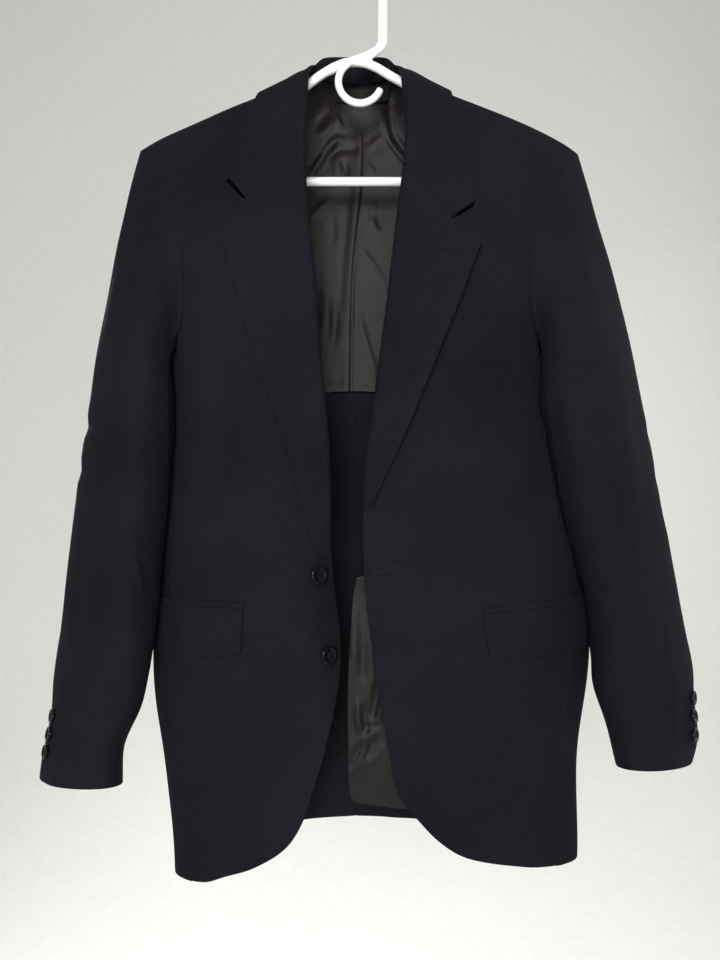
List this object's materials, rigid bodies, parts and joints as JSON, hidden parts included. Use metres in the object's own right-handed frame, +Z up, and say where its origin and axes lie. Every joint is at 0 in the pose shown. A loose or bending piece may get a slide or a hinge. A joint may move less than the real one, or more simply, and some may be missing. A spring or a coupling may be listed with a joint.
{
  "type": "suit jacket on a hanger",
  "caption": "Open single-breasted tailored jacket with notch lapels, flap pockets and a half-lined back, hung on a tubular plastic hanger.",
  "frame": {"origin": "inside top of the hanger's hook, where it rests on the rail, at the mount named hook", "axes": "+X to the wearer's left, +Y to the back of the jacket, +Z up; the fronts face -Y"},
  "size_m": [0.7074, 0.1467, 0.9805],
  "materials": {
    "wool_cloth": "matte navy worsted",
    "lining": "satin, dark olive grey",
    "label": "plain woven, dark olive",
    "button": "polished dark horn look",
    "hanger": "smooth moulded white"
  },
  "bodies": {
    "root": {"right_front": "wool_cloth", "right_back": "wool_cloth", "right_side_body": "wool_cloth", "right_top_sleeve": "wool_cloth", "right_under_sleeve": "wool_cloth", "right_lapel": "wool_cloth", "right_flap": "wool_cloth", "right_pocket_jet": "wool_cloth", "right_cuff_button_1": "button", "right_cuff_button_2": "button", "right_cuff_button_3": "button", "left_front": "wool_cloth", "left_back": "wool_cloth", "left_side_body": "wool_cloth", "left_top_sleeve": "wool_cloth", "left_under_sleeve": "wool_cloth", "left_lapel": "wool_cloth", "left_flap": "wool_cloth", "left_pocket_jet": "wool_cloth", "left_cuff_button_1": "button", "left_cuff_button_2": "button", "left_cuff_button_3": "button", "collar": "wool_cloth", "breast_welt": "wool_cloth", "front_button_1": "button", "front_button_2": "button", "back_lining": "lining", "left_front_lining": "lining", "neck_label": "label", "hanger_arms": "hanger", "hanger_hook": "hanger", "hanger_loop": "hanger"}
  },
  "joints": []
}
